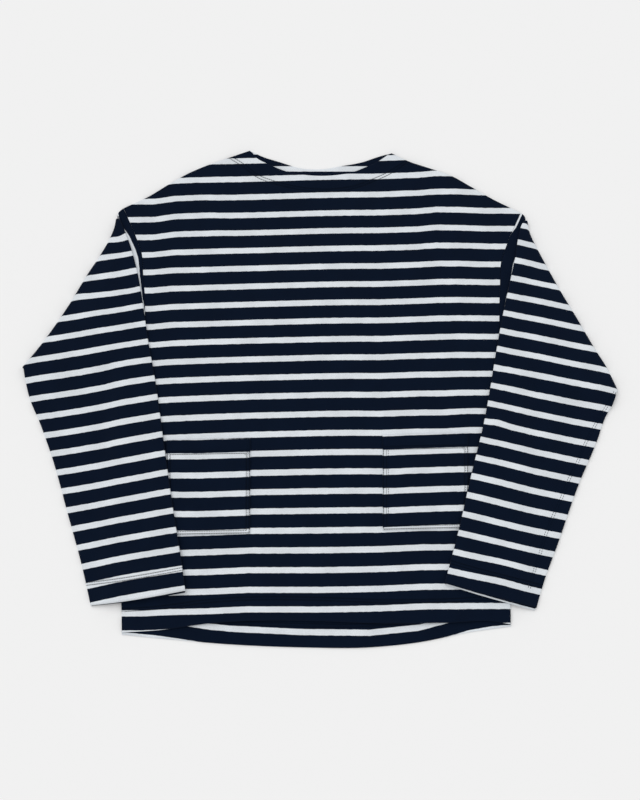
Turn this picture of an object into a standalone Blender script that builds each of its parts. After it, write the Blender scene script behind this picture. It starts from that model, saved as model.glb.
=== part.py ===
"""A striped boatneck sweatshirt, laid flat on its back with both sleeves folded in over the front.

Lengths are in millimetres and are scaled to metres where a mesh is made. X runs to the right and Y
towards the neck as the garment is seen from above, Z is up, and the garment rests on z = 0. The
origin is under the middle of its outline. Left and right are the wearer's in the names of halves,
sleeves and pockets, so the right sleeve lies at -X.
"""
import bmesh
import bpy
import numpy as np

MM = 0.001

# Cloth and clearances
WALL = 1.6          # thickness of the heavy jersey
LAYER_GAP = 0.6     # air between the two layers of the flat garment
SEAM_GAP = 0.3      # between the edges of pieces that are sewn together
FOLD_GAP = 0.8      # between a sleeve and what it is folded down on
POCKET_GAP = 0.35   # between a pocket and the front

# The body's side and shoulder edges bend through a quarter circle, down or up to the seam
LAYERS_TOP = 2 * WALL + LAYER_GAP
BEND_MID = (WALL + LAYER_GAP - SEAM_GAP) / 2
EDGE_REACH = BEND_MID + WALL / 2
FRONT_BEND_Z = (LAYERS_TOP + SEAM_GAP) / 2
BACK_BEND_Z = (LAYERS_TOP - SEAM_GAP) / 2
RIM_THINNING = 0.65  # of the wall's thickness, at the free edges of neck and hem

# A sleeve is a flat tube with half-round edges, folded round a line at this height
TUBE_MID_Z = LAYERS_TOP / 2
TUBE_OUTER = LAYERS_TOP / 2
TUBE_INNER = LAYER_GAP / 2
FOLD_Z = LAYERS_TOP + FOLD_GAP / 2
UNDERARM_SLACK = 0.9  # further room at the corner of a sleeve's lower edge and the body's side

# Where the body's side ends under a sleeve, the sleeve sinks to the surface
SINK_START = 8.0
SINK_WIDTH = 34.0
POCKET_MARGIN = 10.0
POCKET_RAMP = 22.0
POCKET_RISE = WALL + POCKET_GAP
MOUTH_LIFT = 1.6     # how far a pocket's mouth stands off the front in its middle
SLEEVE_PUFF = 1.8    # how far the upper layer of a folded sleeve stands off the lower one
CUFF_PUFF = 2.6      # the same at its open end

# Cells of the meshes
SHOULDER_CELLS = 6
NECK_CELLS = 8
SIDE_CELLS = 10
ARMHOLE_CELLS = 6
BEND_CELLS = 2
ACROSS_PER_ARMHOLE_CELL = 2
UPPER_ARM_CELLS = 4
FOLD_CELLS = 4
LOWER_ARM_CELLS = 14
TUBE_EDGE_ANGLES = (45, 0, -45)
POCKET_ACROSS = 6
POCKET_UP = 7

# Shares of the body's grid: neck points along the top, underarms along the sides
NECK_SHARES = (0.32, 0.68)
UNDERARM_SHARE = 0.64

# Outlines of the laid garment, as x and y
FRONT_NECK = [(-101, 360), (-92, 348), (-72, 337), (-46, 326), (-12, 320),
              (20, 320), (49, 325), (71, 334), (89, 343), (107, 356)]
BACK_NECK = [(-101, 360), (-86, 352), (-57, 342), (-28, 333), (2, 331),
             (34, 336), (64, 342), (90, 351), (107, 356)]
FRONT_HEM = [(-269, -339), (-218, -336), (-150, -327), (-72, -323), (0, -324),
             (90, -327), (180, -326), (235, -324), (263, -328)]
BACK_HEM = [(-269, -342), (-217, -347), (-121, -355), (-25, -359), (70, -359),
            (139, -352), (205, -339), (263, -331)]

# Outlines of each half of the garment, as distance out from the middle and y
RIGHT_HALF = {
    "sign": -1,
    "shoulder": [(101, 360), (131, 349), (161, 338), (190, 325), (219, 308), (248, 289), (286, 270)],
    "armhole": [(286, 270), (268, 230), (257, 200), (254, 168), (250, 122), (252, 88), (268, 58)],
    "side": [(268, 58), (271, -60), (272, -180), (271, -290), (269, -339)],
    "fold": [(295, 262), (298, 241), (306, 219), (317, 198), (335, 168), (359, 124), (387, 79), (403, 56),
             (421, 33)],
    "underarm": [(268, 58), (421, 33)],
    "inner_edge": [(295, 262), (285, 240), (279, 226), (264, 179), (252, 120), (244, 72), (232, 12),
                   (219, -67), (202, -170), (190, -235), (182, -283)],
    "outer_edge": [(421, 33), (412, -9), (393, -52), (376, -95), (349, -179), (324, -260), (313, -303)],
    "cuff": [(182, -283), (231, -292), (269, -298), (313, -303)],
    "corner_lift": 6.0,
}
LEFT_HALF = {
    "sign": 1,
    "shoulder": [(107, 356), (135, 342), (164, 332), (194, 321), (223, 304), (252, 286), (296, 263)],
    "armhole": [(296, 263), (274, 214), (265, 188), (262, 150), (260, 110), (260, 80), (270, 44)],
    "side": [(270, 44), (268, -80), (266, -200), (264, -290), (263, -328)],
    "fold": [(304, 257), (308, 232), (320, 203), (332, 178), (348, 146), (373, 100), (395, 58), (410, 32),
             (424.3, -1)],
    "underarm": [(270, 44), (424.3, -1)],
    "inner_edge": [(304, 257), (296, 243), (291, 226), (285, 194), (277, 160), (265, 110), (254, 57),
                   (244, 4), (236, -36), (213, -124), (192, -207), (173, -273)],
    "outer_edge": [(424.3, -1), (417, -22), (406, -41), (393, -74), (364, -137), (331, -221), (311, -270),
                   (299, -306)],
    "cuff": [(173, -273), (208, -283), (262, -297), (299, -306)],
    "corner_lift": 2.0,
}

# Patch pockets, by their corners: top left, top right, bottom right, bottom left
POCKETS = {
    "right_pocket": [(-214, -74), (-96, -72), (-95, -205), (-211, -207)],
    "left_pocket": [(90, -67), (211, -64), (208, -197), (89, -200)],
}

# Soft swells of the front off the back: centre x and y, half length, half width, turn, height
SWELLS = [
    (5, 170, 190, 120, 4, 2.4),
    (-20, -60, 200, 140, -6, 2.2),
    (0, 300, 90, 60, 0, 1.2),
    (-120, -330, 110, 80, 4, 1.5),
    (135, -320, 110, 80, -3, 1.4),
]

# Largest soft folds of the sleeves below the fold line: centre out and y, half length, half width,
# turn, height
SLEEVE_SWELLS = {
    "right_sleeve": [(300, 60, 90, 34, 60, 1.6), (262, -60, 110, 30, 78, 1.2),
                     (330, -90, 90, 26, 72, 1.2)],
    "left_sleeve": [(310, 50, 95, 34, 118, 1.6), (250, -90, 110, 30, 103, 1.2),
                    (335, -110, 90, 26, 112, 1.2)],
}

CLOTH_COLOUR = (0.009, 0.017, 0.032, 1.0)
CLOTH_ROUGHNESS = 0.9


def smoothstep(low, high, value):
    """Nothing below low, one above high, and an even rise between them."""
    share = np.clip((value - low) / (high - low), 0, 1)
    return share * share * (3 - 2 * share)


def curve(points):
    """A smooth curve through points, as a function of the share of its length, 0 to 1."""
    points = np.array(points, float)
    steps = np.linalg.norm(np.diff(points, axis=0), axis=1)
    knots = np.concatenate([[0], np.cumsum(steps)]) / steps.sum()
    slopes = np.gradient(points, knots, axis=0)

    def at(share):
        share = np.asarray(share, float)
        i = np.clip(np.searchsorted(knots, share, side="right") - 1, 0, len(steps) - 1)
        span = (knots[i + 1] - knots[i])[..., None]
        t = (share[..., None] - knots[i][..., None]) / span
        return ((1 + 2 * t) * (1 - t) ** 2 * points[i] + t * (1 - t) ** 2 * span * slopes[i]
                + t * t * (3 - 2 * t) * points[i + 1] - t * t * (1 - t) * span * slopes[i + 1])
    return at


def directions(points):
    """Unit directions along a row of points."""
    steps = np.gradient(points, axis=0)
    return steps / np.linalg.norm(steps, axis=1, keepdims=True)


def turned(vectors, sign):
    """Vectors turned a quarter turn, anticlockwise for sign 1 and clockwise for -1."""
    return np.stack([-vectors[:, 1], vectors[:, 0]], axis=1) * sign


def inset(points, way_out, reach):
    """A row of points moved in by reach; way_out is 1 or -1, as for turned."""
    points = np.array(points, float)
    return points - turned(directions(points), way_out) * reach


def crossing(row_a, row_b):
    """Where the last step of one row and the first step of another meet, both prolonged."""
    start, along = row_a[-1], row_a[-1] - row_a[-2]
    other, across = row_b[0], row_b[1] - row_b[0]
    share = np.linalg.solve(np.stack([along, -across], axis=1), other - start)[0]
    return start + along * share


def joined(rows):
    """Rows of points that run on from each other, each pair meeting at its crossing."""
    for first, second in zip(rows, rows[1:]):
        meeting = crossing(first, second)
        first[-1] = meeting
        second[0] = meeting
    return rows


def border(sections, way_out):
    """Nodes along one border: sections are (row, cells, bent). Returns points, ways out and bent."""
    points, ways, bent = [], [], []
    for row, cells, is_bent in sections:
        nodes = curve(row)(np.linspace(0, 1, cells + 1))
        out = turned(directions(nodes), way_out)
        skip = 0
        if points:
            skip = 1
            if is_bent:
                ways[-1] = out[0]
                bent[-1] = True
        points.extend(nodes[skip:])
        ways.extend(out[skip:])
        bent.extend([is_bent] * (len(nodes) - skip))
    return np.array(points), np.array(ways), np.array(bent)


def patch(bottom, top, left, right, across, up):
    """Nodes that fill four borders smoothly; across and up are the shares of the nodes."""
    u = across[:, None, None]
    v = up[None, :, None]
    return ((1 - v) * bottom[:, None] + v * top[:, None] + (1 - u) * left[None] + u * right[None]
            - (1 - u) * (1 - v) * bottom[0] - u * (1 - v) * bottom[-1]
            - (1 - u) * v * top[0] - u * v * top[-1])


def swell_height(swells, x, y):
    """Height of the given soft swells over the flat cloth."""
    height = np.zeros(np.shape(x))
    for centre_x, centre_y, half_length, half_width, turn, rise in swells:
        angle = np.radians(turn)
        along = ((x - centre_x) * np.cos(angle) + (y - centre_y) * np.sin(angle)) / half_length
        across = ((y - centre_y) * np.cos(angle) - (x - centre_x) * np.sin(angle)) / half_width
        height += rise * np.clip(1 - along ** 2 - across ** 2, 0, None) ** 2
    return height


def front_top(x, y):
    """Height of the front's upper side away from its bent edges."""
    return LAYERS_TOP + swell_height(SWELLS, x, y)


def split_shares(cells, breaks):
    """Shares of a border's nodes, whose sections have these cells and meet at these shares."""
    ends = [0, *breaks, 1]
    shares = [np.linspace(a, b, n + 1)[:-1] for a, b, n in zip(ends, ends[1:], cells)]
    return np.concatenate([*shares, [1]])


def half_rows(half, name):
    """One named outline of a half, in the garment's x and y."""
    return [(half["sign"] * out, y) for out, y in half[name]]


def panel_borders(neck, hem):
    """The borders of the front or back, moved in by the reach of its edges."""
    low_shoulder = inset(half_rows(RIGHT_HALF, "shoulder")[::-1], 1, EDGE_REACH)
    high_shoulder = inset(half_rows(LEFT_HALF, "shoulder"), 1, EDGE_REACH)
    top = joined([low_shoulder, inset(neck, 1, EDGE_REACH), high_shoulder])
    sides = {}
    for half, way_out in ((RIGHT_HALF, 1), (LEFT_HALF, -1)):
        side_row = half_rows(half, "side")[::-1]
        side_row[0] = hem[0] if half is RIGHT_HALF else hem[-1]
        sides[half["sign"]] = joined([inset(side_row, way_out, EDGE_REACH),
                                      inset(half_rows(half, "armhole")[::-1], way_out, EDGE_REACH)])
    bottom = inset(hem, -1, EDGE_REACH)
    low, high = sides[-1], sides[1]
    for shoulder_end, side in ((0, low), (-1, high)):
        shoulder = top[shoulder_end]
        row = shoulder[::-1] if shoulder_end == 0 else shoulder
        meeting = crossing(row, side[1][::-1])
        shoulder[shoulder_end] = meeting
        side[1][-1] = meeting
    for hem_end, side in ((0, low), (-1, high)):
        row = bottom[::-1] if hem_end == 0 else bottom
        meeting = crossing(row, side[0])
        bottom[hem_end] = meeting
        side[0][0] = meeting
    return {
        "bottom": border([(bottom, SHOULDER_CELLS + NECK_CELLS + SHOULDER_CELLS, False)], -1),
        "top": border([(top[0], SHOULDER_CELLS, True), (top[1], NECK_CELLS, False),
                       (top[2], SHOULDER_CELLS, True)], 1),
        "low_x": border([(low[0], SIDE_CELLS, True), (low[1], ARMHOLE_CELLS, False)], 1),
        "high_x": border([(high[0], SIDE_CELLS, True), (high[1], ARMHOLE_CELLS, False)], -1),
    }


def panel_nodes(borders):
    """Middle of a panel's wall from above, with each node's bend angle, its way out and thinning."""
    across = split_shares((SHOULDER_CELLS, NECK_CELLS, SHOULDER_CELLS), NECK_SHARES)
    up = split_shares((SIDE_CELLS, ARMHOLE_CELLS), (UNDERARM_SHARE,))
    # The hem's nodes stand under the nodes of the top
    hem_points, hem_ways, hem_bent = borders["bottom"]
    even = np.linspace(0, 1, len(hem_points))
    hem_points = np.stack([np.interp(across, even, hem_points[:, k]) for k in (0, 1)], axis=1)
    flat = patch(hem_points, borders["top"][0], borders["low_x"][0], borders["high_x"][0], across, up)
    columns = np.arange(-BEND_CELLS, len(across) + BEND_CELLS)
    rows = np.arange(-BEND_CELLS, len(up) + BEND_CELLS)
    column = np.clip(columns, 0, len(across) - 1)
    row = np.clip(rows, 0, len(up) - 1)
    nodes = flat[column][:, row]
    angle = np.zeros(nodes.shape[:2])
    way = np.zeros(nodes.shape)
    thickness = np.full(nodes.shape[:2], WALL)
    past = {
        "low_x": (np.clip(-columns, 0, None), 0),
        "high_x": (np.clip(columns - len(across) + 1, 0, None), 0),
        "bottom": (np.clip(-rows, 0, None), 1),
        "top": (np.clip(rows - len(up) + 1, 0, None), 1),
    }
    for name, (steps, axis) in past.items():
        ways = hem_ways if name == "bottom" else borders[name][1]
        bent = hem_bent if name == "bottom" else borders[name][2]
        index = row if axis == 0 else column
        share = (steps / BEND_CELLS)[:, None] if axis == 0 else (steps / BEND_CELLS)[None, :]
        out = ways[index][None] if axis == 0 else ways[index][:, None]
        is_bent = bent[index][None] if axis == 0 else bent[index][:, None]
        turn = np.where(is_bent, share * np.pi / 2, 0)
        reach = np.where(is_bent, BEND_MID * np.sin(turn), EDGE_REACH * share)
        nodes = nodes + out * reach[..., None]
        way = way + np.where((turn > 0)[..., None], out, 0)
        angle = angle + turn
        if axis == 1:
            thickness = np.where((share == 1) & ~is_bent, WALL * RIM_THINNING, thickness)
    return nodes, angle, way, thickness


def panel_walls(borders, is_front):
    """Upper and lower side of a panel's wall, as two grids of points."""
    nodes, angle, way, thickness = panel_nodes(borders)
    if is_front:
        height = FRONT_BEND_Z + BEND_MID * np.cos(angle)
        height = height + np.where(angle == 0, swell_height(SWELLS, nodes[..., 0], nodes[..., 1]), 0)
        lean = 1
    else:
        height = BACK_BEND_Z - BEND_MID * np.cos(angle)
        lean = -1
    middle = np.concatenate([nodes, height[..., None]], axis=2)
    normal = np.concatenate([way * np.sin(angle)[..., None], lean * np.cos(angle)[..., None]], axis=2)
    half = normal * thickness[..., None] / 2
    return middle + half, middle - half


def pocket_share(x, y):
    """One over a pocket, nothing away from it, with a soft ramp round it."""
    share = np.zeros(np.shape(x))
    for corners in POCKETS.values():
        xs, ys = np.array(corners).T
        off_x = np.maximum(xs.min() - x, x - xs.max())
        off_y = np.maximum(ys.min() - y, y - ys.max())
        away = np.maximum(off_x, off_y)
        share = np.maximum(share, 1 - smoothstep(POCKET_MARGIN, POCKET_MARGIN + POCKET_RAMP, away))
    return share


def sleeve_base(half, out, y):
    """Height of the underside of a folded sleeve, over the body, the upper arm and the surface."""
    side = np.array(half["side"][::-1], float)
    past_side = out - np.interp(y, side[:, 1], side[:, 0])
    (start_out, start_y), (end_out, end_y) = half["underarm"]
    along = np.array([end_out - start_out, end_y - start_y], float)
    along /= np.linalg.norm(along)
    below_arm = -((y - start_y) * along[0] - (out - start_out) * along[1])
    sunk = (smoothstep(SINK_START, SINK_START + SINK_WIDTH, past_side)
            * smoothstep(SINK_START, SINK_START + SINK_WIDTH, below_arm))
    x = half["sign"] * out
    held_up = front_top(x, y) + POCKET_RISE * pocket_share(x, y) + FOLD_GAP
    return held_up * (1 - sunk)


def tube_profile(across):
    """Once round a flat tube: share across, edge side (-1, 0 or 1) and angle, for each node."""
    nodes = [(share, 0, 90) for share in across]
    nodes += [(1, 1, angle) for angle in TUBE_EDGE_ANGLES]
    nodes += [(share, 0, -90) for share in across[::-1]]
    nodes += [(0, -1, angle) for angle in TUBE_EDGE_ANGLES[::-1]]
    share, edge, angle = np.array(nodes, float).T
    return share, edge, np.radians(angle)


def sleeve_rows(half, body_border):
    """The lines that a sleeve is built on, as distance out and y: nodes across or along it."""
    mirror = np.array([half["sign"], 1.0])
    points, ways, bent = body_border
    seam = (points + ways * (EDGE_REACH + SEAM_GAP))[SIDE_CELLS:] * mirror
    # At the underarm the sleeve's edge stays clear of the body's bent side
    clear = EDGE_REACH + SEAM_GAP
    seam[0] = points[SIDE_CELLS] * mirror + np.array([clear + UNDERARM_SLACK, clear + UNDERARM_SLACK / 2])
    seam = seam[::-1]
    shares = np.linspace(0, 1, ARMHOLE_CELLS + 1)
    across = np.linspace(0, 1, ARMHOLE_CELLS * ACROSS_PER_ARMHOLE_CELL + 1)
    armhole = np.stack([np.interp(across, shares, seam[:, k]) for k in (0, 1)], axis=1)
    inner = inset(half["inner_edge"], -1, TUBE_OUTER)
    outer = inset(half["outer_edge"], 1, TUBE_OUTER)
    fold = inset(half["fold"], 1, FOLD_Z)
    joined([inner[::-1], fold, outer])
    cuff = np.array(half["cuff"], float)
    for end, edge in ((0, inner), (-1, outer)):
        row = cuff[::-1] if end == 0 else cuff
        meeting = crossing(edge, row[::-1])
        cuff[end] = meeting
        edge[-1] = meeting
    stub = np.array([armhole[0], fold[0]])
    underarm = np.array([armhole[-1], fold[-1]])
    return across, armhole, stub, underarm, curve(fold)(across), inner, outer, curve(cuff)(across)


def sleeve_walls(half, body_border, swells):
    """Outer and inner side of a sleeve's wall: a row for each station, a column for each node round."""
    across, armhole, stub, underarm, fold, inner, outer, cuff = sleeve_rows(half, body_border)
    share, edge, angle = tube_profile(across)
    index = np.rint(share * (len(across) - 1)).astype(int)
    rise = np.linspace(0, 1, UPPER_ARM_CELLS + 1)
    drop = np.linspace(0, 1, LOWER_ARM_CELLS + 1)
    stub_row, underarm_row = curve(stub)(rise), curve(underarm)(rise)
    inner_row, outer_row = curve(inner)(drop), curve(outer)(drop)
    upper_arm = patch(armhole, fold, stub_row, underarm_row, across, rise)
    lower_arm = patch(fold, cuff, inner_row, outer_row, across, drop)
    ways = {
        "upper": (turned(directions(stub_row), 1), turned(directions(underarm_row), -1)),
        "lower": (turned(directions(inner_row), -1), turned(directions(outer_row), 1)),
    }
    fold_way = turned(directions(fold), 1)
    sign = half["sign"]
    walls = []
    for radius in (TUBE_OUTER, TUBE_INNER):
        reach = radius * np.cos(angle)
        height = TUBE_MID_Z + radius * np.sin(angle)
        stations = []
        for k in range(UPPER_ARM_CELLS + 1):
            low, high = ways["upper"][0][k], ways["upper"][1][k]
            place = upper_arm[index, k] + edge_offset(edge, reach, low, high)
            lift = np.where(angle == np.pi / 2, swell_height(SWELLS, sign * place[:, 0], place[:, 1]), 0)
            stations.append(np.column_stack([place, height + lift]))
        for k in range(1, FOLD_CELLS):
            turn = np.pi * k / FOLD_CELLS
            low = blended(ways["upper"][0][-1], ways["lower"][0][0], k / FOLD_CELLS)
            high = blended(ways["upper"][1][-1], ways["lower"][1][0], k / FOLD_CELLS)
            out = (FOLD_Z - height) * np.sin(turn)
            place = fold[index] + fold_way[index] * out[:, None] + edge_offset(edge, reach, low, high)
            stations.append(np.column_stack([place, FOLD_Z - (FOLD_Z - height) * np.cos(turn)]))
        for k in range(LOWER_ARM_CELLS + 1):
            low, high = ways["lower"][0][k], ways["lower"][1][k]
            place = lower_arm[index, k] + edge_offset(edge, reach, low, high)
            base = sleeve_base(half, place[:, 0], place[:, 1])
            hollow = 4 * share * (1 - share)
            puff = SLEEVE_PUFF * smoothstep(0, 0.15, drop[k]) + (CUFF_PUFF - SLEEVE_PUFF) * drop[k] ** 6
            puff = puff * hollow + hollow * swell_height(swells, place[:, 0], place[:, 1])
            puff = np.where(angle == -np.pi / 2, puff, 0)
            corner = half["corner_lift"] * (1 - share) ** 3 * drop[k] ** 10
            stations.append(np.column_stack([place, base + LAYERS_TOP - height + puff + corner]))
        wall = np.array(stations)
        wall[..., 0] *= sign
        walls.append(wall)
    return walls


def edge_offset(edge, reach, low, high):
    """How far the nodes of a tube's two edges stand out past them."""
    way = np.where((edge < 0)[:, None], low, high)
    return way * (np.abs(edge) * reach)[:, None]


def blended(way_a, way_b, share):
    """A unit direction between two others."""
    way = way_a * (1 - share) + way_b * share
    return way / np.linalg.norm(way)


def pocket_walls(corners):
    """Upper and lower side of a patch pocket, on the front with its mouth a little open."""
    top_left, top_right, bottom_right, bottom_left = np.array(corners, float)
    u = np.linspace(0, 1, POCKET_ACROSS + 1)[:, None, None]
    v = np.linspace(0, 1, POCKET_UP + 1)[None, :, None]
    place = ((bottom_left * (1 - u) + bottom_right * u) * (1 - v)
             + (top_left * (1 - u) + top_right * u) * v)
    mouth = MOUTH_LIFT * (np.sin(np.pi * u) ** 2 * v ** 6)[..., 0]
    low = front_top(place[..., 0], place[..., 1]) + POCKET_GAP + mouth
    return (np.concatenate([place, (low + WALL)[..., None]], axis=2),
            np.concatenate([place, low[..., None]], axis=2))


def cloth_material(name):
    """The plain colour of the cloth; the stripes are a finish and not a shape."""
    material = bpy.data.materials.new(name)
    material.use_nodes = True
    shader = material.node_tree.nodes["Principled BSDF"]
    shader.inputs["Base Color"].default_value = CLOTH_COLOUR
    shader.inputs["Roughness"].default_value = CLOTH_ROUGHNESS
    shader.inputs["Metallic"].default_value = 0.0
    return material


def add_wall(name, side_a, side_b, is_tube):
    """One object: a wall between two grids of points, with its rims, round or open in its columns."""
    rows, columns = side_a.shape[:2]
    points = np.concatenate([side_a.reshape(-1, 3), side_b.reshape(-1, 3)]) * MM
    mesh_data = bmesh.new()
    nodes = [mesh_data.verts.new(point) for point in points]
    offset = rows * columns
    last = columns if is_tube else columns - 1

    def node(row, column, side):
        return nodes[side * offset + row * columns + column % columns]

    for row in range(rows - 1):
        for column in range(last):
            for side in (0, 1):
                mesh_data.faces.new([node(row, column, side), node(row, column + 1, side),
                                     node(row + 1, column + 1, side), node(row + 1, column, side)])
    for row in (0, rows - 1):
        for column in range(last):
            mesh_data.faces.new([node(row, column, 0), node(row, column + 1, 0),
                                 node(row, column + 1, 1), node(row, column, 1)])
    if not is_tube:
        for column in (0, columns - 1):
            for row in range(rows - 1):
                mesh_data.faces.new([node(row, column, 0), node(row + 1, column, 0),
                                     node(row + 1, column, 1), node(row, column, 1)])
    bmesh.ops.recalc_face_normals(mesh_data, faces=mesh_data.faces)
    bmesh.ops.triangulate(mesh_data, faces=mesh_data.faces)
    mesh = bpy.data.meshes.new(name)
    mesh_data.to_mesh(mesh)
    mesh_data.free()
    mesh.materials.append(cloth_material(name + "_cloth"))
    mesh.shade_smooth()
    piece = bpy.data.objects.new(name, mesh)
    bpy.context.scene.collection.objects.link(piece)
    return piece


def main():
    for old in list(bpy.data.objects):
        bpy.data.objects.remove(old, do_unlink=True)
    front_borders = panel_borders(FRONT_NECK, FRONT_HEM)
    back_borders = panel_borders(BACK_NECK, BACK_HEM)
    add_wall("front_panel", *panel_walls(front_borders, True), is_tube=False)
    add_wall("back_panel", *panel_walls(back_borders, False), is_tube=False)
    for name, half, side in (("right_sleeve", RIGHT_HALF, "low_x"), ("left_sleeve", LEFT_HALF, "high_x")):
        walls = sleeve_walls(half, front_borders[side], SLEEVE_SWELLS[name])
        add_wall(name, *walls, is_tube=True)
    for name, corners in POCKETS.items():
        add_wall(name, *pocket_walls(corners), is_tube=False)


main()
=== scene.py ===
"""Looks of the striped boatneck sweatshirt that lies on its back with both sleeves folded in.

Lengths are in millimetres and are scaled to metres where a mesh is made. X runs to the right and Y
towards the neck as seen from above, Z is up, and the garment rests on z = 0. Every cloth piece is a
thin closed shell on the form of its solid. Each vertex carries its place in the cloth, across and
along, so that the knit and its stripes follow the cloth through every fold.
"""

import bpy
import numpy as np
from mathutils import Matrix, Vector


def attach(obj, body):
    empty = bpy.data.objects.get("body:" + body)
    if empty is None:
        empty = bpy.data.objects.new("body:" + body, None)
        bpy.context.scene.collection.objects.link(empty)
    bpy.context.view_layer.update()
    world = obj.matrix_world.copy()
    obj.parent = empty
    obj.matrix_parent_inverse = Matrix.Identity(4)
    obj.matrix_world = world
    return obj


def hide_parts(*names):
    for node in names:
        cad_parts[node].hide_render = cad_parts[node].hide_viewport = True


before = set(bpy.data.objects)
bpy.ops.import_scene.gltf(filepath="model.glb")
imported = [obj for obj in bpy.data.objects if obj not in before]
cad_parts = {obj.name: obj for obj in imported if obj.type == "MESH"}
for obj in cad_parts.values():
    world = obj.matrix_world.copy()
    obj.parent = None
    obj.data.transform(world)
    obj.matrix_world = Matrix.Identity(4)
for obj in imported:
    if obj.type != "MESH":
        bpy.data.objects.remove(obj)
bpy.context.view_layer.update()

MM = 0.001

# Cloth and clearances, as in the solids
WALL = 1.6
LAYER_GAP = 0.6
SEAM_GAP = 0.3
FOLD_GAP = 0.8
POCKET_GAP = 0.35
LAYERS_TOP = 2 * WALL + LAYER_GAP
BEND_MID = (WALL + LAYER_GAP - SEAM_GAP) / 2
EDGE_REACH = BEND_MID + WALL / 2
FRONT_BEND_Z = (LAYERS_TOP + SEAM_GAP) / 2
BACK_BEND_Z = (LAYERS_TOP - SEAM_GAP) / 2
TUBE_MID_Z = LAYERS_TOP / 2
TUBE_OUTER = LAYERS_TOP / 2
TUBE_INNER = LAYER_GAP / 2
FOLD_Z = LAYERS_TOP + FOLD_GAP / 2
UNDERARM_SLACK = 0.9
SINK_START = 8.0
SINK_WIDTH = 34.0
POCKET_MARGIN = 10.0
POCKET_RAMP = 22.0
POCKET_RISE = WALL + POCKET_GAP
MOUTH_LIFT = 1.6
SLEEVE_PUFF = 1.8
CUFF_PUFF = 2.6
EDGE_ROUNDING = 0.5   # share of a free edge's last strip over which its rim is rounded
BODY_PUFF = 0.7       # the front's height over the solid's, which leaves room for its troughs
FOLD_FADE = (2.0, 26.0)  # creases fade out towards a fold line between these distances
DEEPEST_TROUGH = -0.2
CREASE_SIDES = (1.25, 0.8)    # width of a crease on its gentle and its steep side
CREASE_SPREAD = (0.75, 0.5)   # its width at its start, and how much wider it ends
CREASE_ENDS = (0.08, 0.84)    # part of a half wave that its height follows: start and span
PUFF_START = 0.15     # share of the lower arm over which its puff comes up from the fold
CREASE_START = 0.05   # and over which its creases do
RIM_LIMIT = 0.97      # share of its rounding that a rim gets, which leaves a quarter of the wall
ARMHOLE_FADE = (20.0, 60.0)  # stripes along an armhole turn into the sleeve's between these distances
CUFF_PEEK = (0.965, 1.0)  # share of the lower arm along which its lower layer comes to stand out

# Cells of the meshes
SHOULDER_CELLS = 50
NECK_CELLS = 60
SIDE_CELLS = 110
ARMHOLE_CELLS = 64
BEND_CELLS = 6
UPPER_ARM_CELLS = 36
FOLD_CELLS = 8
LOWER_ARM_CELLS = 112
TUBE_EDGE_ANGLES = (67.5, 45, 22.5, 0, -22.5, -45, -67.5)
POCKET_ACROSS = 40
POCKET_UP = 44

NECK_SHARES = (0.32, 0.68)
UNDERARM_SHARE = 0.64

# Outlines of the laid garment, as x and y
FRONT_NECK = [(-101, 360), (-92, 348), (-72, 337), (-46, 326), (-12, 320),
              (20, 320), (49, 325), (71, 334), (89, 343), (107, 356)]
BACK_NECK = [(-101, 360), (-86, 352), (-57, 342), (-28, 333), (2, 331),
             (34, 336), (64, 342), (90, 351), (107, 356)]
FRONT_HEM = [(-269, -339), (-218, -336), (-150, -327), (-72, -323), (0, -324),
             (90, -327), (180, -326), (235, -324), (263, -328)]
BACK_HEM = [(-269, -342), (-217, -347), (-121, -355), (-25, -359), (70, -359),
            (139, -352), (205, -339), (263, -331)]

# Each half of the garment. Its outlines are distances out from the middle and y. Then, for its sleeve:
# tab, a point on the upper arm's short edge at the tip; corner_lift, rise of the cuff's inner corner;
# peek, how far the cuff's lower layer stands out at its inner and outer edge, and where it ends from
# the middle of a white stripe, where a place in the navy is painted shadow under the raised cuff;
# stripe_angle, stripe_pitch and stripe_start, the run of the stripes; upper_arm_shift, how far they
# are moved at the armhole; armhole_stripe, y along the armhole and the place in the cloth there;
# stripe_bow, distance out and how far stripes bow; stripe_pulls, as for the front below;
# underarm_stitches, the seam where it shows
RIGHT_HALF = {
    "sign": -1,
    "shoulder": [(101, 360), (131, 349), (161, 338), (190, 325), (219, 308), (248, 289), (286, 270)],
    "armhole": [(286, 270), (268, 230), (257, 200), (254, 168), (250, 122), (252, 88), (268, 58)],
    "side": [(268, 58), (271, -60), (272, -180), (271, -290), (269, -339)],
    "fold": [(295, 262), (298, 241), (306, 219), (317, 198), (335, 168), (359, 124), (387, 79), (403, 56),
             (421, 33)],
    "underarm": [(268, 58), (421, 33)],
    "inner_edge": [(295, 262), (285, 240), (279, 226), (264, 179), (252, 120), (244, 72), (232, 12),
                   (219, -67), (202, -170), (190, -235), (182, -283)],
    "outer_edge": [(421, 33), (412, -9), (393, -52), (376, -95), (349, -179), (324, -260), (313, -303)],
    "cuff": [(182, -283), (231, -292), (269, -298), (313, -303)],
    "tab": (292.3, 261.5),
    "corner_lift": 6.0,
    # The cuff's lower layer reaches 2.4 mm past the upper one and ends in the navy: a dark sheet painted as
    # the shadow under its raised inner corner
    "peek": (2.4, 0.4, -9.0),
    "stripe_angle": 100.24,
    "stripe_pitch": 27.19,
    "stripe_start": 164.3,
    "upper_arm_shift": 8.5,
    "armhole_stripe": [(60, 103), (100, 165), (135, 170.4), (176, 172), (202, 173.7), (231, 175.6),
                       (244, 178.5), (252, 183)],
    "stripe_bow": [(340, 0.0), (370, 0.9), (400, 2.2)],
    "stripe_pulls": [(286, 222, 24, -5.0), (280, 229, 8, 3.2), (293, 254, 11, 8.0),
                     (262, 150, 16, -1.4), (289, 150, 34, -3.0),
                     (346, 137, 14, 2.0), (268, 38, 30, 1.3), (340, 60, 30, 0.6),
                     (285, -110, 60, -0.6), (262, -265, 66, 2.2)],
    "underarm_stitches": [],
}
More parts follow.
